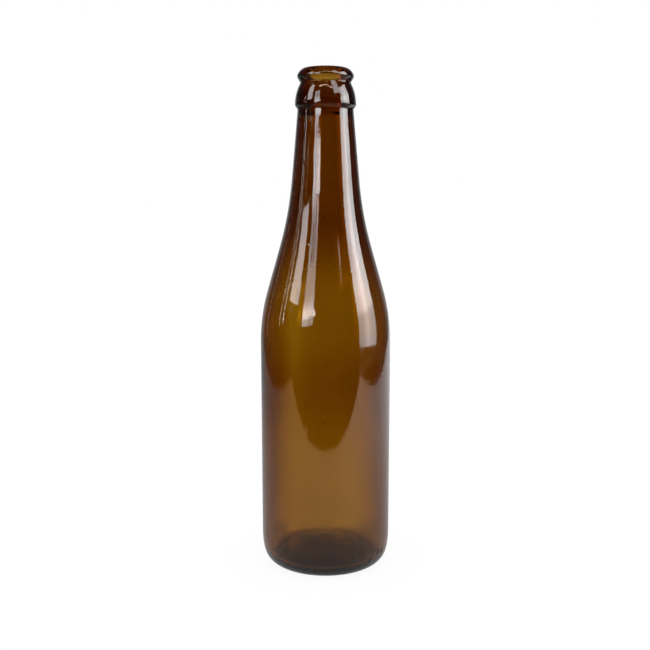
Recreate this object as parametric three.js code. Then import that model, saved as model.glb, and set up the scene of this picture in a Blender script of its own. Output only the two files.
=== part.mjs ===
// A slender bottle of thick amber glass with a finish for a crown cork, open and empty.
// It is one blown piece: a hollow wall, a domed base that stands on a narrow ring, and an open mouth.
// Millimetres, +Z up. The origin is on the axis, at the height of the ring that it stands on.

import * as THREE from "three";

// Facets round the axis.
const TURN_STEPS = 48;

// Body and overall height.
const BODY_RADIUS = 30.96;
const TOTAL_HEIGHT = 234.9;

// Base: the flat ring that it stands on, the hollow under it and the rounded heel beside it.
const BEARING_OUTER_RADIUS = 21;
const BEARING_INNER_RADIUS = 19.6;
const PUSH_UP_RIM_RADIUS = 18.3;
const PUSH_UP_RIM_HEIGHT = 1.5;
const PUSH_UP_HEIGHT = 4.6;
const HEEL_HEIGHT = 18;
const HEEL_EXPONENT = 3.25;

// Shoulder and neck, outside: a round shoulder, a straight cone, a long hollow curve and the tapered neck.
const SHOULDER_START = 108.6;
const SHOULDER_RADIUS = 85.2;
const CONE_ANGLE = THREE.MathUtils.degToRad(16.15);
const NECK_BEND_RADIUS = 156;
const NECK_TAPER = THREE.MathUtils.degToRad(5.02);
const NECK_TOP_RADIUS = 12.93;
const NECK_TOP_HEIGHT = 216.3;

// Finish: the bead under the crown, the bulge above it, the waist and the locking ring.
const BEAD_RADIUS = 14.16;
const BEAD_HEIGHT = 218.3;
const BEAD_CORNER = 0.7;
const WAIST_RADIUS = 11.6;
const WAIST_HEIGHT = 228.3;
const RING_RADIUS = 13.1;
const RING_HEIGHT = 231.1;
const RING_CORNER = 0.9;
const LIP_CREST_RADIUS = 9.5;
const LIP_EXPONENT = 1.65;

// Inside: the bore, the step below it, the wall and the floor.
const BORE_RADIUS = 7.8;
const BORE_END_HEIGHT = 214.4;
const BORE_STEP_HEIGHT = 213.4;
const WALL = 3.1;
const INNER_CONE_ANGLE = THREE.MathUtils.degToRad(19.2);
const INNER_BEND_RADIUS = 90;
const INNER_NECK_RADIUS = 8.62;
const INNER_NECK_TAPER = THREE.MathUtils.degToRad(5.1);
const INNER_HEEL_TOP = 12;
const FLOOR_EDGE_RADIUS = 23.5;
const FLOOR_EDGE_HEIGHT = 4.3;
const FLOOR_MIDDLE_HEIGHT = 9;
const INNER_HEEL_EXPONENT = 3;

const point = (radius, height) => new THREE.Vector2(radius, height);

// A round stretch about a centre, from one angle to another; both ends are included.
function arc(centreRadius, centreHeight, size, from, to, steps) {
  const points = [];
  for (let i = 0; i <= steps; i++) {
    const angle = from + ((to - from) * i) / steps;
    points.push(point(centreRadius + size * Math.cos(angle), centreHeight + size * Math.sin(angle)));
  }
  return points;
}

// A quarter of a superellipse about a centre, from its outermost point to its highest or lowest one.
function quarter(centreRadius, centreHeight, width, rise, exponent, steps) {
  const points = [];
  for (let i = 0; i <= steps; i++) {
    const angle = ((Math.PI / 2) * i) / steps;
    const across = Math.cos(angle) ** (2 / exponent);
    const along = Math.sin(angle) ** (2 / exponent);
    points.push(point(centreRadius + width * across, centreHeight + rise * along));
  }
  return points;
}

// A shallow dome from the axis out to an edge; its height falls with the square of the radius.
function dome(middleHeight, edgeRadius, edgeHeight, steps) {
  const points = [];
  for (let i = 0; i <= steps; i++) {
    const share = i / steps;
    points.push(point(edgeRadius * share, middleHeight + (edgeHeight - middleHeight) * share ** 2));
  }
  return points;
}

// The line of the wall from the shoulder to the top of the neck, each stretch running on smoothly from the last:
// shoulder arc, straight cone, hollow arc, straight taper.
function wallLine({ bodyRadius, shoulderRadius, coneAngle, bendRadius, taper, topRadius, topHeight }) {
  const shoulder = arc(bodyRadius - shoulderRadius, SHOULDER_START, shoulderRadius, 0, coneAngle, 7);
  const coneFoot = shoulder[shoulder.length - 1];
  const coneDirection = point(-Math.sin(coneAngle), Math.cos(coneAngle));
  const taperDirection = point(-Math.sin(taper), Math.cos(taper));

  // Where the cone's line and the taper's line cross.
  const gapRadius = topRadius - coneFoot.x;
  const gapHeight = topHeight - coneFoot.y;
  const crossing = coneDirection.x * taperDirection.y - coneDirection.y * taperDirection.x;
  const along = (gapRadius * taperDirection.y - gapHeight * taperDirection.x) / crossing;
  const corner = coneFoot.clone().addScaledVector(coneDirection, along);

  const tangentLength = bendRadius * Math.tan((coneAngle - taper) / 2);
  const bendStart = corner.clone().addScaledVector(coneDirection, -tangentLength);
  const bendCentreRadius = bendStart.x + bendRadius * Math.cos(coneAngle);
  const bendCentreHeight = bendStart.y + bendRadius * Math.sin(coneAngle);
  const bend = arc(
    bendCentreRadius,
    bendCentreHeight,
    bendRadius,
    Math.PI + coneAngle,
    Math.PI + taper,
    6,
  );
  return [...shoulder, ...bend, point(topRadius, topHeight)];
}

// The underside, from the axis out to the ring that it stands on.
function underside() {
  const hollow = dome(PUSH_UP_HEIGHT, PUSH_UP_RIM_RADIUS, PUSH_UP_RIM_HEIGHT, 5);
  return [...hollow, point(BEARING_INNER_RADIUS, 0)];
}

// The rounded heel, from the standing ring up to the body.
function heel() {
  const width = BODY_RADIUS - BEARING_OUTER_RADIUS;
  return quarter(BEARING_OUTER_RADIUS, HEEL_HEIGHT, width, -HEEL_HEIGHT, HEEL_EXPONENT, 9).reverse();
}

// The finish from the bead up over the locking ring to the crest of the lip.
function finish() {
  const bulgeRise = WAIST_HEIGHT - BEAD_HEIGHT;
  const bulgeDepth = BEAD_RADIUS - WAIST_RADIUS;
  const bulgeRadius = (bulgeRise ** 2 + bulgeDepth ** 2) / (2 * bulgeDepth);
  const beadCorner = arc(BEAD_RADIUS - BEAD_CORNER, BEAD_HEIGHT, BEAD_CORNER, -Math.PI / 3, 0, 2);
  const bulge = arc(
    BEAD_RADIUS - bulgeRadius,
    BEAD_HEIGHT,
    bulgeRadius,
    0,
    Math.asin(bulgeRise / bulgeRadius),
    6,
  );
  const ringCorner = arc(RING_RADIUS - RING_CORNER, RING_HEIGHT, RING_CORNER, -Math.PI / 4, 0, 2);
  const lip = quarter(
    LIP_CREST_RADIUS,
    RING_HEIGHT,
    RING_RADIUS - LIP_CREST_RADIUS,
    TOTAL_HEIGHT - RING_HEIGHT,
    LIP_EXPONENT,
    7,
  );
  return [...beadCorner, ...bulge.slice(1), ...ringCorner, ...lip.slice(1)];
}

// The bore: the lip's inner rounding, the straight bore and the step where it opens into the neck.
function bore() {
  const rounding = LIP_CREST_RADIUS - BORE_RADIUS;
  const lipInside = arc(LIP_CREST_RADIUS, TOTAL_HEIGHT - rounding, rounding, Math.PI / 2, Math.PI, 4);
  return [...lipInside.slice(1), point(BORE_RADIUS, BORE_END_HEIGHT)];
}

// The inner wall from the step under the bore down to the floor's corner, and the domed floor to the axis.
function inside() {
  const wall = wallLine({
    bodyRadius: BODY_RADIUS - WALL,
    shoulderRadius: SHOULDER_RADIUS - WALL,
    coneAngle: INNER_CONE_ANGLE,
    bendRadius: INNER_BEND_RADIUS,
    taper: INNER_NECK_TAPER,
    topRadius: INNER_NECK_RADIUS,
    topHeight: BORE_STEP_HEIGHT,
  }).reverse();
  const innerRadius = BODY_RADIUS - WALL;
  const corner = quarter(
    FLOOR_EDGE_RADIUS,
    INNER_HEEL_TOP,
    innerRadius - FLOOR_EDGE_RADIUS,
    FLOOR_EDGE_HEIGHT - INNER_HEEL_TOP,
    INNER_HEEL_EXPONENT,
    6,
  );
  const floor = dome(FLOOR_MIDDLE_HEIGHT, FLOOR_EDGE_RADIUS, FLOOR_EDGE_HEIGHT, 5).reverse();
  return [...wall, ...corner, ...floor.slice(1)];
}

// The whole outline, from the middle of the underside, up the outside, over the lip and down to the inner floor.
function profile() {
  const outerWall = wallLine({
    bodyRadius: BODY_RADIUS,
    shoulderRadius: SHOULDER_RADIUS,
    coneAngle: CONE_ANGLE,
    bendRadius: NECK_BEND_RADIUS,
    taper: NECK_TAPER,
    topRadius: NECK_TOP_RADIUS,
    topHeight: NECK_TOP_HEIGHT,
  });
  return [...underside(), ...heel(), ...outerWall, ...finish(), ...bore(), ...inside()];
}

const amberGlass = new THREE.MeshStandardMaterial({ color: 0x6e4308, roughness: 0.06, metalness: 0 });

function makeBottle() {
  const geometry = new THREE.LatheGeometry(profile(), TURN_STEPS);
  geometry.rotateX(Math.PI / 2);
  const mesh = new THREE.Mesh(geometry, amberGlass);
  mesh.name = "bottle";
  return mesh;
}

const group = new THREE.Group();
group.add(makeBottle());

export default group;
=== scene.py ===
"""A slender amber glass bottle, open and empty, on a pale table between the tall soft lights of a studio."""

import math

import bpy
import numpy as np
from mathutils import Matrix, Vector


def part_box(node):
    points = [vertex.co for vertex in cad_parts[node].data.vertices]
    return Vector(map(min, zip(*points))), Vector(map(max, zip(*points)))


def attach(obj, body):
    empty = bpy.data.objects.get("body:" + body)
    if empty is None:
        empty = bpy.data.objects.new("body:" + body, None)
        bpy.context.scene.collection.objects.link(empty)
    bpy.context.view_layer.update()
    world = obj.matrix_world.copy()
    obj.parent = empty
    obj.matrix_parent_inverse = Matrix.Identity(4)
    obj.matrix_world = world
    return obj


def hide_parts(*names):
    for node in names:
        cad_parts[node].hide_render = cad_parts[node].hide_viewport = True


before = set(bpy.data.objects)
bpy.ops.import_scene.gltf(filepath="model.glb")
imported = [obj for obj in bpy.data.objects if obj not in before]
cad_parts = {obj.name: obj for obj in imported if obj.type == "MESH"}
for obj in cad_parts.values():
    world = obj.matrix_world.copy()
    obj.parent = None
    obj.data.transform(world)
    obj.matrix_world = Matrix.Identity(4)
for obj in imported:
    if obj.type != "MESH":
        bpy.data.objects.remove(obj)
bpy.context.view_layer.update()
bottle_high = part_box("bottle")[1]
MM = 0.001

# The camera, as it was for the photograph. The picture is square, 650 pixels a side. The focal length in
# pixels, the bottle's axis and the picture's middle line are pixel values of it.
PICTURE_SIDE = 650
FOCAL_PIXELS = 912.2
BOTTLE_AXIS_X = 325.55
PICTURE_MIDDLE_Y = 325.5
SENSOR_WIDTH = 36.0
FOCAL_LENGTH = FOCAL_PIXELS / PICTURE_SIDE * SENSOR_WIDTH
CAMERA_PLACE = (0, -431.9 * MM, 178.9 * MM)
CAMERA_PITCH = 0.146
CLIP_START = 0.01

# The outside of the bottle, in millimetres.
BODY_RADIUS = bottle_high.x / MM
TOTAL_HEIGHT = bottle_high.z / MM
BEARING_OUTER_RADIUS = 21.0
BEARING_INNER_RADIUS = 19.6
PUSH_UP_RIM_RADIUS = 18.3
PUSH_UP_RIM_HEIGHT = 1.5
PUSH_UP_HEIGHT = 4.6
HEEL_HEIGHT = 18.0
HEEL_EXPONENT = 3.25
SHOULDER_START = 108.6
SHOULDER_RADIUS = 85.2
CONE_ANGLE = math.radians(16.15)
NECK_BEND_RADIUS = 156.0
NECK_TAPER = math.radians(5.02)
NECK_TOP_RADIUS = 12.93
NECK_TOP_HEIGHT = 216.3
BEAD_RADIUS = 14.16
BEAD_HEIGHT = 218.3
BEAD_CORNER = 0.7
BEAD_CORNER_START = -math.pi / 3
WAIST_RADIUS = 11.6
WAIST_HEIGHT = 228.3
RING_RADIUS = 13.1
RING_HEIGHT = 231.1
RING_CORNER = 0.9
RING_CORNER_START = -math.pi / 4
LIP_CREST_RADIUS = 9.5
LIP_EXPONENT = 1.65

# The hollow, in millimetres.
BORE_RADIUS = 7.8
BORE_END_HEIGHT = 214.4
BORE_STEP_HEIGHT = 213.4
WALL = 3.1
INNER_CONE_ANGLE = math.radians(19.2)
INNER_BEND_RADIUS = 90.0
INNER_NECK_RADIUS = 8.62
INNER_NECK_TAPER = math.radians(5.1)
INNER_HEEL_TOP = 12.0
INNER_HEEL_EXPONENT = 3.0
FLOOR_EDGE_RADIUS = 23.5
FLOOR_EDGE_HEIGHT = 4.3
FLOOR_MIDDLE_HEIGHT = 9.0

# How many steps draw each round stretch of the outline.
DOME_STEPS = 8
HEEL_STEPS = 34
SHOULDER_STEPS = 12
NECK_BEND_STEPS = 10
FINISH_CORNER_STEPS = 4
BULGE_STEPS = 14
LIP_STEPS = 14
LIP_INSIDE_STEPS = 6
FLOOR_CORNER_STEPS = 12

# How finely the surface is drawn. Columns stand closer together at the front than at the back.
TURN_STEPS = 384
FRONT_AZIMUTH = math.radians(-80)
FRONT_CROWDING = 0.5
ROW_SPACING = 4.4
MERGE_DISTANCE = 0.002 * MM

# Sharp corners of the outline are rounded, and the joins of the wall's stretches between two heights are
# evened out, in millimetres.
SHARP_CORNER = math.radians(20)
CORNER_ROUNDING = 0.35
CORNER_STEPS = 3
LARGEST_SETBACK_SHARE = 0.45
WALL_JOINS = (112.0, 208.0)
JOIN_ROUNDS = 4


def arc(centre_radius, centre_height, size, start, end, steps):
    """A round stretch about a centre, as points of radius and height."""
    angle = np.linspace(start, end, steps + 1)
    return np.stack([centre_radius + size * np.cos(angle), centre_height + size * np.sin(angle)], 1)


def quarter(centre_radius, centre_height, width, rise, exponent, steps):
    """A quarter of a superellipse, from its outermost point to its highest or lowest one."""
    angle = np.linspace(0, math.pi / 2, steps + 1)
    across = np.clip(np.cos(angle), 0, 1) ** (2 / exponent)
    along = np.sin(angle) ** (2 / exponent)
    return np.stack([centre_radius + width * across, centre_height + rise * along], 1)


def dome(middle_height, edge_radius, edge_height, steps):
    """A shallow dome from the axis out to an edge; its height changes with the square of the radius."""
    share = np.linspace(0, 1, steps + 1)
    return np.stack([edge_radius * share, middle_height + (edge_height - middle_height) * share**2], 1)


def divided(points, spacing):
    """Divides every straight stretch that is longer than spacing."""
    rows = [points[0]]
    for start, end in zip(points[:-1], points[1:]):
        pieces = max(1, math.ceil(np.hypot(*(end - start)) / spacing))
        rows.extend(start + (end - start) * step / pieces for step in range(1, pieces + 1))
    return np.array(rows)


def softened(points):
    """Rounds each sharp corner of an outline a little, as hot glass does."""
    rows = [points[0]]
    for before, corner, after in zip(points[:-2], points[1:-1], points[2:]):
        back, on = before - corner, after - corner
        back_length, on_length = np.hypot(*back), np.hypot(*on)
        turn = math.pi - math.acos(np.clip(np.dot(back, on) / (back_length * on_length), -1, 1))
        if turn < SHARP_CORNER:
            rows.append(corner)
            continue
        shortest = min(back_length, on_length)
        setback = min(CORNER_ROUNDING, LARGEST_SETBACK_SHARE * shortest)
        first = corner + back / back_length * setback
        last = corner + on / on_length * setback
        for share in np.linspace(0, 1, CORNER_STEPS + 1):
            rows.append(first * (1 - share) ** 2 + 2 * corner * share * (1 - share) + last * share**2)
    rows.append(points[-1])
    return np.array(rows)


def relaxed(points):
    """Evens out the joins between the stretches of the wall, above the body and below the finish."""
    on_wall = (points[1:-1, 1] > WALL_JOINS[0]) & (points[1:-1, 1] < WALL_JOINS[1])
    for _ in range(JOIN_ROUNDS):
        middle = (points[:-2] + 2 * points[1:-1] + points[2:]) / 4
        points[1:-1][on_wall] = middle[on_wall]
    return points


def wall_line(body_radius, shoulder_radius, cone_angle, bend_radius, taper, top_radius, top_height):
    """The wall above the body, each stretch running on from the last: shoulder arc, straight cone, hollow
    arc and straight neck."""
    shoulder_centre = body_radius - shoulder_radius
    shoulder = arc(shoulder_centre, SHOULDER_START, shoulder_radius, 0, cone_angle, SHOULDER_STEPS)
    cone = np.array([-math.sin(cone_angle), math.cos(cone_angle)])
    neck = np.array([-math.sin(taper), math.cos(taper)])
    gap = np.array([top_radius, top_height]) - shoulder[-1]
    along = (gap[0] * neck[1] - gap[1] * neck[0]) / (cone[0] * neck[1] - cone[1] * neck[0])
    corner = shoulder[-1] + cone * along
    start = corner - cone * bend_radius * math.tan((cone_angle - taper) / 2)
    centre = start + bend_radius * np.array([math.cos(cone_angle), math.sin(cone_angle)])
    bend = arc(centre[0], centre[1], bend_radius, math.pi + cone_angle, math.pi + taper, NECK_BEND_STEPS)
    return np.concatenate([shoulder, bend, [[top_radius, top_height]]])


def base_line():
    """The underside, the ring that the bottle stands on, and the rounded heel."""
    underside = dome(PUSH_UP_HEIGHT, PUSH_UP_RIM_RADIUS, PUSH_UP_RIM_HEIGHT, DOME_STEPS)
    bearing = [[BEARING_INNER_RADIUS, 0.0], [BEARING_OUTER_RADIUS, 0.0]]
    width = BODY_RADIUS - BEARING_OUTER_RADIUS
    heel = quarter(BEARING_OUTER_RADIUS, HEEL_HEIGHT, width, -HEEL_HEIGHT, HEEL_EXPONENT, HEEL_STEPS)
    return np.concatenate([underside, bearing, heel[-2::-1]])


def finish_line():
    """The finish: its bead, the bulge above it, the locking ring and the lip, up to the lip's crest."""
    rise = WAIST_HEIGHT - BEAD_HEIGHT
    depth = BEAD_RADIUS - WAIST_RADIUS
    bulge_radius = (rise**2 + depth**2) / (2 * depth)
    bulge_end = math.asin(rise / bulge_radius)
    bead_centre = BEAD_RADIUS - BEAD_CORNER
    ring_centre = RING_RADIUS - RING_CORNER
    bead = arc(bead_centre, BEAD_HEIGHT, BEAD_CORNER, BEAD_CORNER_START, 0, FINISH_CORNER_STEPS)
    bulge = arc(BEAD_RADIUS - bulge_radius, BEAD_HEIGHT, bulge_radius, 0, bulge_end, BULGE_STEPS)
    ring = arc(ring_centre, RING_HEIGHT, RING_CORNER, RING_CORNER_START, 0, FINISH_CORNER_STEPS)
    lip_width = RING_RADIUS - LIP_CREST_RADIUS
    lip_rise = TOTAL_HEIGHT - RING_HEIGHT
    lip = quarter(LIP_CREST_RADIUS, RING_HEIGHT, lip_width, lip_rise, LIP_EXPONENT, LIP_STEPS)
    return np.concatenate([bead, bulge[1:], ring, lip[1:]])


def outside_line():
    """The whole outer outline, from the middle of the underside to the crest of the lip."""
    wall = wall_line(
        BODY_RADIUS,
        SHOULDER_RADIUS,
        CONE_ANGLE,
        NECK_BEND_RADIUS,
        NECK_TAPER,
        NECK_TOP_RADIUS,
        NECK_TOP_HEIGHT,
    )
    outline = np.concatenate([base_line(), wall, finish_line()])
    return relaxed(divided(softened(outline), ROW_SPACING))


def inside_line():
    """The whole inner outline, from the crest of the lip down to the middle of the floor."""
    rounding = LIP_CREST_RADIUS - BORE_RADIUS
    rounding_height = TOTAL_HEIGHT - rounding
    lip = arc(LIP_CREST_RADIUS, rounding_height, rounding, math.pi / 2, math.pi, LIP_INSIDE_STEPS)
    bore_end = [[BORE_RADIUS, BORE_END_HEIGHT]]
    inner_radius = BODY_RADIUS - WALL
    wall = wall_line(
        inner_radius,
        SHOULDER_RADIUS - WALL,
        INNER_CONE_ANGLE,
        INNER_BEND_RADIUS,
        INNER_NECK_TAPER,
        INNER_NECK_RADIUS,
        BORE_STEP_HEIGHT,
    )
    corner = quarter(
        FLOOR_EDGE_RADIUS,
        INNER_HEEL_TOP,
        inner_radius - FLOOR_EDGE_RADIUS,
        FLOOR_EDGE_HEIGHT - INNER_HEEL_TOP,
        INNER_HEEL_EXPONENT,
        FLOOR_CORNER_STEPS,
    )
    floor = dome(FLOOR_MIDDLE_HEIGHT, FLOOR_EDGE_RADIUS, FLOOR_EDGE_HEIGHT, DOME_STEPS)
    outline = np.concatenate([lip, bore_end, wall[::-1], corner, floor[-2::-1]])
    return relaxed(divided(softened(outline), ROW_SPACING)[1:])


class Nodes:
    """Short calls for building a node tree."""

    def __init__(self, tree):
        self.tree = tree

    def add(self, kind, **settings):
        node = self.tree.nodes.new(kind)
        for name, value in settings.items():
            setattr(node, name, value)
        return node

    def feed(self, socket, value):
        """Links a socket to another, or gives it a plain value."""
        if isinstance(value, bpy.types.NodeSocket):
            self.tree.links.new(value, socket)
        else:
            socket.default_value = value

    def vector(self, *values):
        """A vector from its X, Y and Z."""
        node = self.add("ShaderNodeCombineXYZ")
        for socket, value in zip(node.inputs, values):
            self.feed(socket, value)
        return node.outputs[0]

    def split(self, vector):
        """The sockets of a vector's X, Y and Z."""
        node = self.add("ShaderNodeSeparateXYZ")
        self.feed(node.inputs[0], vector)
        return node.outputs

    def maths(self, operation, *values):
        node = self.add("ShaderNodeMath", operation=operation)
        for socket, value in zip(node.inputs, values):
            self.feed(socket, value)
        return node.outputs[0]

    def times(self, *values):
        result = values[0]
        for value in values[1:]:
            result = self.maths("MULTIPLY", result, value)
        return result

    def plus(self, *values):
        result = values[0]
        for value in values[1:]:
            result = self.maths("ADD", result, value)
        return result

    def smooth(self, value, start, end, low=0.0, high=1.0):
        """Runs smoothly from low, where value is at start, to high, where it is at end."""
        node = self.add("ShaderNodeMapRange", interpolation_type="SMOOTHSTEP")
        for name, number in (
            ("Value", value),
            ("From Min", start),
            ("From Max", end),
            ("To Min", low),
            ("To Max", high),
        ):
            self.feed(node.inputs[name], number)
        return node.outputs["Result"]

    def bell(self, value, centre, width):
        """1 where value is at centre, falling away in a bell curve of that width."""
        share = self.maths("DIVIDE", self.maths("SUBTRACT", value, centre), width)
        return self.maths("EXPONENT", self.times(share, share, -1.0))

    def band(self, value, centre, half_width, edge):
        """1 within half a width of centre and 0 past it, over a soft edge."""
        away = self.maths("ABSOLUTE", self.maths("SUBTRACT", value, centre))
        return self.smooth(away, self.plus(half_width, edge), half_width)

    def noise(self, place, scale, detail=2.0, seed=0.0):
        """Noise about 0, from about -1 to 1, stretched by a scale for each axis."""
        shift = self.add("ShaderNodeVectorMath", operation="MULTIPLY_ADD")
        self.feed(shift.inputs[0], place)
        self.feed(shift.inputs[1], scale)
        self.feed(shift.inputs[2], (seed, seed, seed))
        node = self.add("ShaderNodeTexNoise", noise_dimensions="3D")
        self.feed(node.inputs["Vector"], shift.outputs[0])
        self.feed(node.inputs["Scale"], 1.0)
        self.feed(node.inputs["Detail"], detail)
        return self.plus(self.times(node.outputs[0], 2.0), -1.0)


# The unevenness of the glass, outside and inside: what the tree takes as its inputs, in metres, and the angle
# of the seams, from +X towards +Y.
RELIEF = {
    "Seam Height": 0.05 * MM,
    "Seam Width": 0.5 * MM,
    "Seam Angle": math.radians(-90 - 15),
    "Outer Waviness": 0.035 * MM,
    "Inner Waviness": 0.28 * MM,
    "Belly Thickening": 0.75 * MM,
    "Left Thinning": 0.85 * MM,
    "Right Thinning": 0.25 * MM,
    "Side Thickening": 0.35 * MM,
    "Inner Streaks": 0.05 * MM,
    "Stipple Depth": 0.16 * MM,
    "Mark Height": 0.26 * MM,
}

# The seams' ends and how far they take to fade there, and the fine lines round the neck under the bead.
SEAM_FOOT = 5 * MM
SEAM_FOOT_FADE = 6 * MM
SEAM_TOP = NECK_TOP_HEIGHT * MM
SEAM_TOP_FADE = 3 * MM
NECK_RING_LINES = (215.3 * MM, 214.1 * MM)
NECK_RING_WIDTH = 0.22 * MM
NECK_RING_RELIEF = 0.05 * MM

# The waves of the glass. A scale is how many run to the metre, across, along and upward.
OUTER_WAVES = {"scale": (75, 75, 28), "seed": 3.1}
INNER_WAVES = {"scale": (34, 34, 16), "seed": 8.4}
INNER_STREAKS = {"scale": (260, 260, 9), "seed": 4.6}

# Where the wall is thicker or thinner: the belly's height and length, and for each patch its middle and its
# size, across and upward.
BELLY_MIDDLE = 84 * MM
BELLY_LENGTH = 19 * MM
LEFT_MIDDLE = (-14.5 * MM, 112 * MM)
LEFT_SIZE = (6.5 * MM, 60 * MM)
RIGHT_MIDDLE = (11.5 * MM, 36 * MM)
RIGHT_SIZE = (6.5 * MM, 26 * MM)
SIDE_MIDDLE = (22 * MM, 44 * MM)
SIDE_SIZE = (5 * MM, 17 * MM)

# Where the unevenness fades: outside towards the foot, inside towards the finish, where a share of it stays,
# and both towards the axis.
FOOT_FADE = (0.2 * MM, 2.5 * MM)
FINISH_FADE = (BORE_END_HEIGHT * MM, 190 * MM)
FINISH_SHARE = 0.1
AXIS_FADE = (2 * MM, 12 * MM)

# The hollows in the standing ring: their number, how far they reach from its outer edge and where they fade.
STIPPLES = 76
STIPPLE_REACH = 1.2 * MM
STIPPLE_EDGE = 0.4 * MM
STIPPLE_HEIGHT_FADE = (0.8 * MM, 0.1 * MM)
STIPPLE_FULL_AT = 0.8

# Rows of plain raised marks on the heel: first angle, height, pitch, number and half height of a mark.
# Every second mark is shorter, by a share of its height.
HEEL_MARKS = (
    (math.radians(270 + 24), 9.3 * MM, 1.9 * MM, 6, 1.5 * MM),
    (math.radians(270 + 43), 6.6 * MM, 1.9 * MM, 2, 1.2 * MM),
    (math.radians(270 + 53), 8.8 * MM, 1.9 * MM, 5, 1.4 * MM),
)
MARK_HALF_WIDTH = 0.3 * MM
MARK_EDGE = 0.22 * MM
MARK_SHORTENING = 0.7
MARK_ROW_EDGE = 0.01


def turning_sheet(n, given):
    """A sheet with one row for each point of the outline and one column for each step of the turn, and the
    row and the column that each of its points is in."""
    count = n.add("GeometryNodeAttributeDomainSize")
    n.feed(count.inputs["Geometry"], given["Outline"])
    rows = count.outputs["Point Count"]
    sheet = n.add("GeometryNodeMeshGrid")
    n.feed(sheet.inputs["Vertices X"], n.maths("ADD", given["Turn Steps"], 1.0))
    n.feed(sheet.inputs["Vertices Y"], rows)
    index = n.add("GeometryNodeInputIndex").outputs[0]
    row = n.maths("MODULO", index, rows)
    column = n.maths("FLOOR", n.maths("DIVIDE", n.plus(index, 0.5), rows))
    return sheet.outputs["Mesh"], row, column


def outline_place(n, given, row):
    """The radius and the height of a row's point of the outline."""
    sample = n.add("GeometryNodeSampleIndex", data_type="FLOAT_VECTOR", domain="POINT")
    n.feed(sample.inputs["Geometry"], given["Outline"])
    n.feed(sample.inputs["Value"], n.add("GeometryNodeInputPosition").outputs[0])
    n.feed(sample.inputs["Index"], row)
    place = n.split(sample.outputs[0])
    return place["X"], place["Z"]


def column_angle(n, given, column):
    """The angle of a column, with the columns crowded towards the front."""
    even = n.times(n.maths("DIVIDE", column, given["Turn Steps"]), math.tau)
    bunch = n.maths("SINE", n.plus(even, -FRONT_AZIMUTH))
    return n.maths("SUBTRACT", even, n.times(bunch, FRONT_CROWDING))


def seam_relief(n, given, radius, height, angle):
    """Two seams that run up the outside, opposite each other."""
    beside = n.times(radius, n.maths("SINE", n.maths("SUBTRACT", angle, given["Seam Angle"])))
    reach = n.times(
        n.smooth(height, SEAM_FOOT, SEAM_FOOT + SEAM_FOOT_FADE),
        n.smooth(height, SEAM_TOP, SEAM_TOP - SEAM_TOP_FADE),
    )
    return n.times(n.bell(beside, 0.0, given["Seam Width"]), reach, given["Seam Height"])


def heel_marks(n, height, angle):
    """Plain marks low on the heel, bars and dots by turns: 1 on a mark and 0 beside it."""
    marks = []
    for first, middle, pitch, number, half_height in HEEL_MARKS:
        cell = n.maths("DIVIDE", n.times(n.plus(angle, -first), BODY_RADIUS * MM), pitch)
        local = n.times(n.plus(n.maths("FRACT", cell), -0.5), pitch)
        every_second = n.maths("MODULO", n.maths("FLOOR", cell), 2.0)
        tall = n.maths("SUBTRACT", half_height, n.times(every_second, half_height * MARK_SHORTENING))
        in_row = n.band(cell, number / 2, number / 2 - MARK_ROW_EDGE, MARK_ROW_EDGE)
        upright = n.band(local, 0.0, MARK_HALF_WIDTH, MARK_EDGE)
        marks.append(n.times(upright, n.band(height, middle, tall, MARK_EDGE), in_row))
    return n.plus(*marks)


def outer_relief(n, given, radius, height, angle, place):
    """The seams, the fine lines under the bead, the marks on the heel and the waves of the outside."""
    ring_lines = n.plus(*(n.bell(height, line, NECK_RING_WIDTH) for line in NECK_RING_LINES))
    return n.plus(
        seam_relief(n, given, radius, height, angle),
        n.times(ring_lines, NECK_RING_RELIEF),
        n.times(heel_marks(n, height, angle), given["Mark Height"]),
        n.times(n.noise(place, **OUTER_WAVES), given["Outer Waviness"]),
    )


def inner_relief(n, given, across, height, place):
    """The inner wall wanders, with fine upright streaks. The wall is thicker round the belly and low on both
    sides, and thinner in two upright patches."""
    patches = (
        (across, LEFT_MIDDLE, LEFT_SIZE),
        (across, RIGHT_MIDDLE, RIGHT_SIZE),
        (n.maths("ABSOLUTE", across), SIDE_MIDDLE, SIDE_SIZE),
    )
    left, right, sides = (
        n.times(n.bell(place_across, middle[0], size[0]), n.bell(height, middle[1], size[1]))
        for place_across, middle, size in patches
    )
    return n.plus(
        n.times(n.noise(place, **INNER_WAVES), given["Inner Waviness"]),
        n.times(n.bell(height, BELLY_MIDDLE, BELLY_LENGTH), given["Belly Thickening"], -1.0),
        n.times(n.noise(place, **INNER_STREAKS), given["Inner Streaks"]),
        n.times(left, given["Left Thinning"]),
        n.times(right, given["Right Thinning"]),
        n.times(sides, given["Side Thickening"], -1.0),
    )


def ring_stipple(n, given, radius, height, angle, outside):
    """Small hollows all along the ring that the bottle stands on."""
    near_edge = n.band(radius, BEARING_OUTER_RADIUS * MM, STIPPLE_REACH, STIPPLE_EDGE)
    on_ring = n.times(near_edge, n.smooth(height, *STIPPLE_HEIGHT_FADE), outside)
    hollows = n.smooth(n.maths("COSINE", n.times(angle, float(STIPPLES))), 0.0, STIPPLE_FULL_AT)
    return n.times(on_ring, hollows, given["Stipple Depth"])


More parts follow.
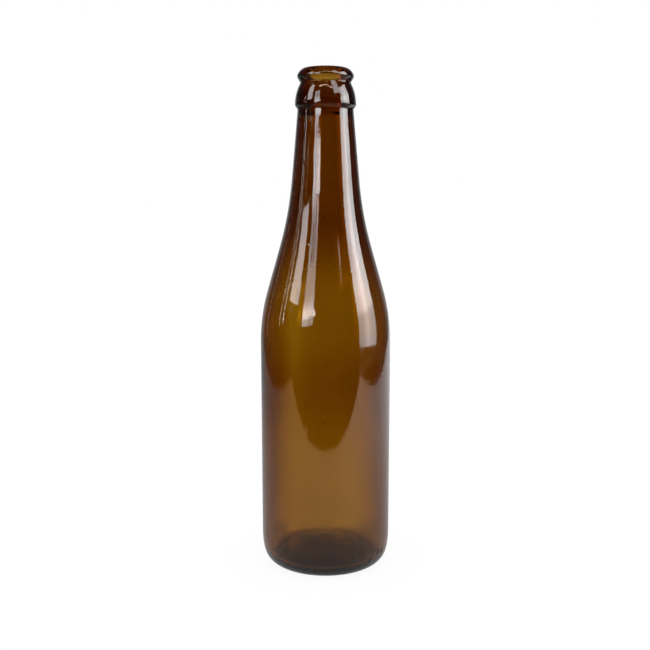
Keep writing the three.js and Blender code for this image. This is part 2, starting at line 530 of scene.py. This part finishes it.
def closed_and_painted(n, given, mesh):
    """Closes the sheet's seam and its two poles, and finishes the mesh."""
    join = n.add("GeometryNodeMergeByDistance")
    n.feed(join.inputs["Geometry"], mesh)
    n.feed(join.inputs["Distance"], MERGE_DISTANCE)
    shade = n.add("GeometryNodeSetShadeSmooth")
    n.feed(shade.inputs["Geometry"], join.outputs[0])
    real = n.add("GeometryNodeRealizeInstances")
    n.feed(real.inputs["Geometry"], shade.outputs[0])
    paint = n.add("GeometryNodeSetMaterial")
    n.feed(paint.inputs["Geometry"], real.outputs[0])
    n.feed(paint.inputs["Material"], given["Glass"])
    return paint.outputs[0]


def bottle_tree():
    """A tree that turns an outline into the bottle and gives its glass the unevenness that a mould leaves."""
    tree = bpy.data.node_groups.new("turned_bottle", "GeometryNodeTree")
    face = tree.interface
    face.new_socket("Outline", in_out="INPUT", socket_type="NodeSocketGeometry")
    face.new_socket("Turn Steps", in_out="INPUT", socket_type="NodeSocketInt")
    face.new_socket("Outside Rows", in_out="INPUT", socket_type="NodeSocketInt")
    for name in RELIEF:
        face.new_socket(name, in_out="INPUT", socket_type="NodeSocketFloat")
    face.new_socket("Glass", in_out="INPUT", socket_type="NodeSocketMaterial")
    face.new_socket("Bottle", in_out="OUTPUT", socket_type="NodeSocketGeometry")
    n = Nodes(tree)
    given = n.add("NodeGroupInput").outputs

    # Each point of the sheet: its place on the even bottle, and which side of the wall it is on.
    sheet, row, column = turning_sheet(n, given)
    radius, height = outline_place(n, given, row)
    angle = column_angle(n, given, column)
    cosine = n.maths("COSINE", angle)
    sine = n.maths("SINE", angle)
    across = n.times(radius, cosine)
    place = n.vector(across, n.times(radius, sine), height)
    outside = n.maths("LESS_THAN", row, given["Outside Rows"])
    inside = n.maths("SUBTRACT", 1.0, outside)

    # How far the unevenness moves it, away from the axis and upward.
    outer = outer_relief(n, given, radius, height, angle, place)
    inner = inner_relief(n, given, across, height, place)
    push = n.plus(
        n.times(outer, outside, n.smooth(height, *FOOT_FADE)),
        n.times(inner, inside, n.smooth(height, *FINISH_FADE, low=FINISH_SHARE)),
    )
    uneven_radius = n.plus(radius, n.times(push, n.smooth(radius, *AXIS_FADE)))
    uneven_height = n.plus(height, ring_stipple(n, given, radius, height, angle, outside))
    uneven_place = n.vector(n.times(uneven_radius, cosine), n.times(uneven_radius, sine), uneven_height)

    bend = n.add("GeometryNodeSetPosition")
    n.feed(bend.inputs["Geometry"], sheet)
    n.feed(bend.inputs["Position"], uneven_place)
    n.feed(n.add("NodeGroupOutput").inputs["Bottle"], closed_and_painted(n, given, bend.outputs[0]))
    return tree


# The glass: the colour that its depth lets through, how strongly depth colours it, and how it bends light.
AMBER = (0.801, 0.658, 0.0, 1)
AMBER_DEPTH = 1100.0
GLASS_IOR = 1.52

# What handling leaves on it. A scale is how many run to the metre, across, along and upward.
SPECK_SCALE = 260.0
SPECK_EDGE = (0.14, 0.07)
SPECK_SHARE = 0.03
SPECK_ROUGHNESS = 0.45
SPECK_RISE = 1.5
SCUFF_HEIGHT = 104 * MM
SCUFF_REACH = 9 * MM
SCUFF_STROKES = {"scale": (900, 900, 5200), "detail": 3.0, "seed": 1.7}
SCUFF_EDGE = (0.12, 0.4)
SCUFF_ROUGHNESS = 0.16
SCUFF_RISE = 0.5
FINE_GRAIN = {"scale": (700, 700, 900), "detail": 1.0, "seed": 5.2}
RIPPLE = {"scale": (260, 260, 120), "detail": 1.0, "seed": 6.6}
RIPPLE_RISE = 0.6
WEAR_RELIEF = 0.006 * MM


def surface_wear():
    """A node group for what handling leaves on glass: fine unevenness, dust specks and light scuffs."""
    tree = bpy.data.node_groups.new("surface_wear", "ShaderNodeTree")
    face = tree.interface
    for name in ("Scuff Height", "Scuff Reach", "Speck Share"):
        face.new_socket(name, in_out="INPUT", socket_type="NodeSocketFloat")
    for name in ("Roughness", "Height"):
        face.new_socket(name, in_out="OUTPUT", socket_type="NodeSocketFloat")
    n = Nodes(tree)
    given = n.add("NodeGroupInput").outputs
    place = n.add("ShaderNodeTexCoord").outputs["Object"]

    # Specks: the middles of a scatter of cells, of which only some hold one.
    cells = n.add("ShaderNodeTexVoronoi")
    n.feed(cells.inputs["Vector"], place)
    n.feed(cells.inputs["Scale"], SPECK_SCALE)
    cell_shade = n.add("ShaderNodeSeparateColor")
    n.feed(cell_shade.inputs[0], cells.outputs["Color"])
    chosen = n.maths("LESS_THAN", cell_shade.outputs[0], given["Speck Share"])
    speck = n.times(n.smooth(cells.outputs["Distance"], *SPECK_EDGE), chosen)

    # Scuffs: fine broken strokes round the height where bottles knock together.
    strokes = n.smooth(n.noise(place, **SCUFF_STROKES), *SCUFF_EDGE)
    scuff = n.times(strokes, n.bell(n.split(place)["Z"], given["Scuff Height"], given["Scuff Reach"]))

    roughness = n.plus(n.times(speck, SPECK_ROUGHNESS), n.times(scuff, SCUFF_ROUGHNESS))
    height = n.plus(
        n.noise(place, **FINE_GRAIN),
        n.times(n.noise(place, **RIPPLE), RIPPLE_RISE),
        n.times(scuff, SCUFF_RISE),
        n.times(speck, SPECK_RISE),
    )
    output = n.add("NodeGroupOutput")
    n.feed(output.inputs["Roughness"], roughness)
    n.feed(output.inputs["Height"], height)
    return tree


def amber_glass():
    """Clear glass that takes its amber colour from its depth."""
    material = bpy.data.materials.new("amber_glass")
    material.use_nodes = True
    n = Nodes(material.node_tree)
    nodes = material.node_tree.nodes
    shader = nodes["Principled BSDF"]
    shader.inputs["Base Color"].default_value = (1, 1, 1, 1)
    shader.inputs["IOR"].default_value = GLASS_IOR
    shader.inputs["Transmission Weight"].default_value = 1.0
    wear = n.add("ShaderNodeGroup", node_tree=surface_wear())
    wear.inputs["Scuff Height"].default_value = SCUFF_HEIGHT
    wear.inputs["Scuff Reach"].default_value = SCUFF_REACH
    wear.inputs["Speck Share"].default_value = SPECK_SHARE
    n.feed(shader.inputs["Roughness"], wear.outputs["Roughness"])
    bump = n.add("ShaderNodeBump")
    bump.inputs["Strength"].default_value = 1.0
    bump.inputs["Distance"].default_value = WEAR_RELIEF
    n.feed(bump.inputs["Height"], wear.outputs["Height"])
    n.feed(shader.inputs["Normal"], bump.outputs[0])
    depth = n.add("ShaderNodeVolumeAbsorption")
    depth.inputs["Color"].default_value = AMBER
    depth.inputs["Density"].default_value = AMBER_DEPTH
    n.feed(nodes["Material Output"].inputs["Volume"], depth.outputs[0])
    return material


def make_bottle():
    """Builds the bottle with its tree and leaves a plain mesh."""
    outer, inner = outside_line(), inside_line()
    points = np.concatenate([outer, inner]) * MM
    outline = bpy.data.meshes.new("bottle_outline")
    outline.from_pydata([(radius, 0, height) for radius, height in points.tolist()], [], [])
    turned = bpy.data.objects.new("bottle_turning", outline)
    bpy.context.scene.collection.objects.link(turned)
    tree = bottle_tree()
    modifier = turned.modifiers.new("turned_bottle", "NODES")
    modifier.node_group = tree
    values = {"Turn Steps": TURN_STEPS, "Outside Rows": len(outer), "Glass": amber_glass(), **RELIEF}
    for socket in tree.interface.items_tree:
        if socket.in_out == "INPUT" and socket.name in values:
            modifier[socket.identifier] = values[socket.name]
    bpy.context.view_layer.update()
    mesh = bpy.data.meshes.new_from_object(turned.evaluated_get(bpy.context.evaluated_depsgraph_get()))
    turned.modifiers.remove(modifier)
    bpy.data.objects.remove(turned)
    mesh.name = "bottle_glass"
    bottle = bpy.data.objects.new("bottle_glass", mesh)
    bpy.context.scene.collection.objects.link(bottle)
    return bottle


bottle = make_bottle()
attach(bottle, "root")
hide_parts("bottle")


# The studio. A direction's azimuth is 0 towards the camera and grows to the right, and its elevation is above
# the horizon, both in degrees as seen from the bottle.
LIGHT_DISTANCE = 1.5
LIGHT_EYE_HEIGHT = 0.16
PANEL_STEPS = 12
WARM_LAMP = (1.0, 0.82, 0.66)

# How bright a light is across its width and up its height: pairs of a share of the way and a brightness.
EVEN = ((0.0, 1.0), (1.0, 1.0))
FAINT_FOOT = ((0.0, 0.0), (0.6, 1.0), (1.0, 1.0))
NEAR_LEFT_ACROSS = (
    (0.0, 0.9),
    (0.3, 1.0),
    (0.5, 0.9),
    (0.58, 0.75),
    (0.62, 0.55),
    (0.67, 0.8),
    (0.8, 0.9),
    (1.0, 0.75),
)
NEAR_LEFT_UPWARD = (
    (0.0, 0.34),
    (0.1, 0.4),
    (0.16, 0.8),
    (0.23, 0.92),
    (0.32, 0.7),
    (0.45, 0.45),
    (0.55, 0.31),
    (0.69, 0.3),
    (0.85, 0.45),
    (1.0, 0.45),
)
RIGHT_ACROSS = (
    (0.0, 0.6),
    (0.2, 0.62),
    (0.36, 0.8),
    (0.48, 1.0),
    (0.56, 0.92),
    (0.68, 0.66),
    (1.0, 0.62),
)
RIGHT_UPWARD = (
    (0.0, 0.42),
    (0.23, 0.46),
    (0.29, 0.5),
    (0.35, 0.85),
    (0.44, 0.9),
    (0.52, 1.0),
    (0.6, 0.7),
    (1.0, 0.65),
)

# Thin lights on the left: azimuth, elevation of the lower and the upper end, and strength.
THIN_LEFT_LIGHTS = (
    (-66, 9.5, 13.2, 3.0),
    (-81.3, 1, 21, 9.0),
    (-89, -1, 20, 6.0),
    (-125, -8, 14, 1.2),
)
THIN_HALF_WIDTH = 0.6


def glowing(name, strength, colour, across, upward):
    """The glow of a soft light. across and upward are its brightness across its width and up its height."""
    material = bpy.data.materials.new(name)
    material.use_nodes = True
    material.node_tree.nodes.clear()
    n = Nodes(material.node_tree)
    place = n.split(n.add("ShaderNodeTexCoord").outputs["UV"])
    total = strength
    for share, stops in ((place["X"], across), (place["Y"], upward)):
        ramp = n.add("ShaderNodeValToRGB")
        elements = ramp.color_ramp.elements
        elements[0].position = stops[0][0]
        elements[1].position = stops[-1][0]
        for stop, _ in stops[1:-1]:
            elements.new(stop)
        for element, (_, value) in zip(elements, stops):
            element.color = (value, value, value, 1)
        n.feed(ramp.inputs[0], share)
        total = n.times(ramp.outputs[0], total)
    glow = n.add("ShaderNodeEmission")
    glow.inputs["Color"].default_value = (*colour, 1)
    n.feed(glow.inputs["Strength"], total)
    n.feed(n.add("ShaderNodeOutputMaterial").inputs["Surface"], glow.outputs[0])
    return material


def soft_light(name, azimuths, lows, highs, strength, colour=(1, 1, 1), across=EVEN, upward=EVEN):
    """A tall soft light between two azimuths. lows and highs are its lower and upper edges' elevations at its
    first and its last azimuth."""
    points, places = [], []
    for step in range(PANEL_STEPS + 1):
        share = step / PANEL_STEPS
        turn = math.radians(azimuths[0] + (azimuths[1] - azimuths[0]) * share)
        for level, edge in enumerate((lows, highs)):
            rise = math.tan(math.radians(edge[0] + (edge[1] - edge[0]) * share))
            side, front = LIGHT_DISTANCE * math.sin(turn), -LIGHT_DISTANCE * math.cos(turn)
            points.append((side, front, LIGHT_EYE_HEIGHT + LIGHT_DISTANCE * rise))
            places.append((share, level))
    faces = [(2 * i, 2 * i + 2, 2 * i + 3, 2 * i + 1) for i in range(PANEL_STEPS)]
    mesh = bpy.data.meshes.new(name)
    mesh.from_pydata(points, [], faces)
    layer = mesh.uv_layers.new(name="panel")
    for loop in mesh.loops:
        layer.data[loop.index].uv = places[loop.vertex_index]
    mesh.materials.append(glowing(name, strength, colour, across, upward))
    light = bpy.data.objects.new(name, mesh)
    bpy.context.scene.collection.objects.link(light)
    light.visible_camera = False
    light.visible_diffuse = False


def left_lights():
    """Two tall lights on the left, a short narrow one beside the nearer of them, and the thin ones."""
    soft_light("left_light", azimuths=(-73, -53.5), lows=(14.8, 15.0), highs=(46, 46), strength=6.5)
    soft_light(
        "near_left_light",
        azimuths=(-42, -22.3),
        lows=(2.8, 5),
        highs=(31, 39),
        strength=14.5,
        across=NEAR_LEFT_ACROSS,
        upward=NEAR_LEFT_UPWARD,
    )
    soft_light(
        "near_left_edge",
        azimuths=(-22.3, -18.8),
        lows=(11.0, 11.0),
        highs=(14.6, 14.6),
        strength=12.0,
    )
    for azimuth, low, high, strength in THIN_LEFT_LIGHTS:
        sides = (azimuth - THIN_HALF_WIDTH, azimuth + THIN_HALF_WIDTH)
        soft_light("thin_left_light", sides, (low, low), (high, high), strength)


def right_lights():
    """A tall wide light on the right, and two smaller ones higher up, to the left of it."""
    soft_light(
        "right_light",
        azimuths=(60, 100),
        lows=(-10, -10),
        highs=(40, 40),
        strength=15.5,
        across=RIGHT_ACROSS,
        upward=RIGHT_UPWARD,
    )
    soft_light("upper_right_light", azimuths=(34, 61), lows=(29, 29), highs=(57, 57), strength=5.0)
    soft_light(
        "upper_right_slit",
        azimuths=(33, 36),
        lows=(23.5, 23.5),
        highs=(29, 29),
        strength=4.5,
        upward=FAINT_FOOT,
    )


def upper_front_lights():
    """A thin warm light high above the camera, in two halves that meet at its crest."""
    soft_light(
        "upper_front_light_a",
        azimuths=(-31, -3),
        lows=(45, 52.5),
        highs=(47, 54.5),
        strength=14.0,
        colour=WARM_LAMP,
    )
    soft_light(
        "upper_front_light_b",
        azimuths=(-3, 34),
        lows=(52.5, 41.5),
        highs=(54.5, 43.5),
        strength=14.0,
        colour=WARM_LAMP,
    )


left_lights()
right_lights()
upper_front_lights()

# The table top, where a mirror reflection looks at it, in metres: its edges, and its painted light from left
# to right, which stands in for the lit table that the glass mirrors.
TABLE_REACH = 8.0
TABLE_LEFT = -0.42
TABLE_RIGHT = 0.44
TABLE_FRONT = -0.24
TABLE_EDGE = 0.015
# Painted light: how brightly the table glows in mirror reflections, at its left, middle and right.
TABLE_GLOW_LEFT = 0.34
TABLE_GLOW_MIDDLE = 0.54
TABLE_GLOW_RIGHT = 1.15
RIGHT_GLOW_RISE = (-0.02, 0.36)
TABLE_WHITE = (0.68, 0.68, 0.68, 1)
SEEN_WHITE = 1.08
SHADOW_SHARE = 0.15

# The painted warm part of that light, a warm glow on the table seen only in mirror reflections: its colour,
# and the distance from the bottle and the share of that distance towards the front over which it comes in.
PAINTED_WARM_LIGHT = (1.25, 0.54, 0.0)
WARM_DISTANCE = (0.085, 0.105)
WARM_FRONT_SHARE = (-0.2, 0.5)

# A ray from high up is long and steep: its length, and its run along the table as a share of its length. It
# sees none of the warm part, and this share of the rest.
HIGH_RAY_LENGTH = (0.1, 0.2)
HIGH_RAY_RUN = (0.95, 0.8)
HIGH_RAY_SHARE = 0.35


def mirror_ray(n):
    """A Light Path node, and 1 where a ray comes from a mirror reflection off the outside of the glass."""
    path = n.add("ShaderNodeLightPath")
    straight = n.maths("SUBTRACT", 1.0, path.outputs["Is Transmission Ray"])
    return path, n.times(path.outputs["Is Glossy Ray"], straight)


def past_table(n, across, along):
    """1 past the table's left, right and front edges, and 0 on it."""
    past_right = n.smooth(across, TABLE_RIGHT, TABLE_RIGHT + TABLE_EDGE)
    past_left = n.smooth(across, TABLE_LEFT, TABLE_LEFT - TABLE_EDGE)
    past_front = n.smooth(along, TABLE_FRONT, TABLE_FRONT - TABLE_EDGE / 2)
    return n.maths("MAXIMUM", n.maths("MAXIMUM", past_right, past_left), past_front)


def white_table_and_painted_reflection(n, across, along, path, mirror):
    """The table's emission: an even white for the camera, and in a mirror reflection a painted reflection
    of a lit table that grows to the right, with a painted warm patch in front of the bottle.
    """
    distance = n.maths("SQRT", n.plus(n.times(across, across), n.times(along, along)))
    to_front = n.maths("DIVIDE", n.times(along, -1.0), distance)
    run = n.maths("DIVIDE", distance, path.outputs["Ray Length"])
    from_high = n.times(n.smooth(path.outputs["Ray Length"], *HIGH_RAY_LENGTH), n.smooth(run, *HIGH_RAY_RUN))
    low = n.maths("SUBTRACT", 1.0, from_high)
    # Painted light: a warm glow on the table, seen only in the glass's mirror reflections.
    warm = n.times(n.smooth(distance, *WARM_DISTANCE), n.smooth(to_front, *WARM_FRONT_SHARE), low, mirror)
    # Painted reflection: the table's glow that the glass mirrors, brighter to the right.
    glow = n.plus(
        n.smooth(across, TABLE_LEFT, 0.0, TABLE_GLOW_LEFT, TABLE_GLOW_MIDDLE),
        n.smooth(across, *RIGHT_GLOW_RISE, 0.0, TABLE_GLOW_RIGHT - TABLE_GLOW_MIDDLE),
    )
    dimmed = n.times(mirror, glow, n.plus(n.times(low, 1 - HIGH_RAY_SHARE), HIGH_RAY_SHARE))
    light = n.add("ShaderNodeVectorMath", operation="MULTIPLY_ADD")
    n.feed(light.inputs[0], PAINTED_WARM_LIGHT)
    n.feed(light.inputs[1], warm)
    n.feed(light.inputs[2], n.plus(n.times(path.outputs["Is Camera Ray"], SEEN_WHITE), dimmed))
    bright = n.add("ShaderNodeEmission")
    n.feed(bright.inputs["Color"], light.outputs[0])
    return bright.outputs[0]


def pale_table():
    """White where the camera sees it, with the bottle's faint shadow. In a mirror reflection it has edges and
    shows only its painted light.
    """
    material = bpy.data.materials.new("pale_table")
    material.use_nodes = True
    material.node_tree.nodes.clear()
    n = Nodes(material.node_tree)
    place = n.split(n.add("ShaderNodeTexCoord").outputs["Object"])
    across, along = place["X"], place["Y"]
    path, mirror = mirror_ray(n)
    white = n.add("ShaderNodeBsdfDiffuse")
    white.inputs["Color"].default_value = TABLE_WHITE
    seen = n.add("ShaderNodeMixShader")
    # Mirror reflections see only the painted emission; the camera sees mostly white, with a share of the lit
    # table.
    n.feed(seen.inputs[0], n.plus(n.times(path.outputs["Is Camera Ray"], 1 - SHADOW_SHARE), mirror))
    n.feed(seen.inputs[1], white.outputs[0])
    n.feed(seen.inputs[2], white_table_and_painted_reflection(n, across, along, path, mirror))
    ended = n.add("ShaderNodeMixShader")
    n.feed(ended.inputs[0], n.times(past_table(n, across, along), mirror))
    n.feed(ended.inputs[1], seen.outputs[0])
    n.feed(ended.inputs[2], n.add("ShaderNodeBsdfTransparent").outputs[0])
    n.feed(n.add("ShaderNodeOutputMaterial").inputs["Surface"], ended.outputs[0])
    return material


def table_top():
    """One wide flat sheet under the bottle."""
    corners = [(-TABLE_REACH, -TABLE_REACH, 0), (TABLE_REACH, -TABLE_REACH, 0)]
    corners += [(TABLE_REACH, TABLE_REACH, 0), (-TABLE_REACH, TABLE_REACH, 0)]
    mesh = bpy.data.meshes.new("table")
    mesh.from_pydata(corners, [], [(0, 1, 2, 3)])
    mesh.materials.append(pale_table())
    table = bpy.data.objects.new("table", mesh)
    bpy.context.scene.collection.objects.link(table)


table_top()

# What lies round the table: a pale screen behind, and a dim room in front of it. Each pair of numbers is
# where a part of it begins and where it is full, from 0 straight to the side to 1 straight behind the bottle.
ROOM = 0.006
SCREEN_IN_GLASS = 0.62
SCREEN_IN_GLASS_EDGE = (0.35, 0.75)
SCREEN_IN_MIRROR = 0.5
SCREEN_IN_MIRROR_EDGE = (0.62, 0.97)
SIDES_IN_MIRROR = 0.05
SIDES_IN_MIRROR_EDGE = (0.1, 0.3)


def studio_air():
    """The room. It is white where the camera looks straight at it and where it lights the table."""
    world = bpy.data.worlds.new("studio")
    bpy.context.scene.world = world
    world.use_nodes = True
    n = Nodes(world.node_tree)
    background = world.node_tree.nodes["Background"]
    behind = n.split(n.add("ShaderNodeTexCoord").outputs["Generated"])["Y"]
    through = n.smooth(behind, *SCREEN_IN_GLASS_EDGE, ROOM, SCREEN_IN_GLASS)
    screen = n.smooth(behind, *SCREEN_IN_MIRROR_EDGE, 0.0, SCREEN_IN_MIRROR)
    sides = n.smooth(behind, *SIDES_IN_MIRROR_EDGE, ROOM, SIDES_IN_MIRROR)
    mirrored = n.maths("MAXIMUM", screen, sides)
    path, mirror = mirror_ray(n)
    glassy = n.plus(n.times(mirrored, mirror), n.times(through, n.maths("SUBTRACT", 1.0, mirror)))
    plain = n.maths("MAXIMUM", path.outputs["Is Camera Ray"], path.outputs["Is Diffuse Ray"])
    n.feed(background.inputs["Strength"], n.maths("MAXIMUM", plain, glassy))
    background.inputs["Color"].default_value = (1, 1, 1, 1)


studio_air()


def add_camera():
    """The camera, where the photograph was taken from."""
    data = bpy.data.cameras.new("camera")
    data.sensor_width = SENSOR_WIDTH
    data.lens = FOCAL_LENGTH
    data.shift_x = (PICTURE_SIDE / 2 - BOTTLE_AXIS_X) / PICTURE_SIDE
    data.shift_y = (PICTURE_MIDDLE_Y - PICTURE_SIDE / 2) / PICTURE_SIDE
    data.clip_start = CLIP_START
    camera = bpy.data.objects.new("camera", data)
    camera.location = CAMERA_PLACE
    camera.rotation_euler = (math.pi / 2 - CAMERA_PITCH, 0, 0)
    bpy.context.scene.collection.objects.link(camera)
    bpy.context.scene.camera = camera


add_camera()
bpy.context.scene.view_settings.view_transform = "Standard"
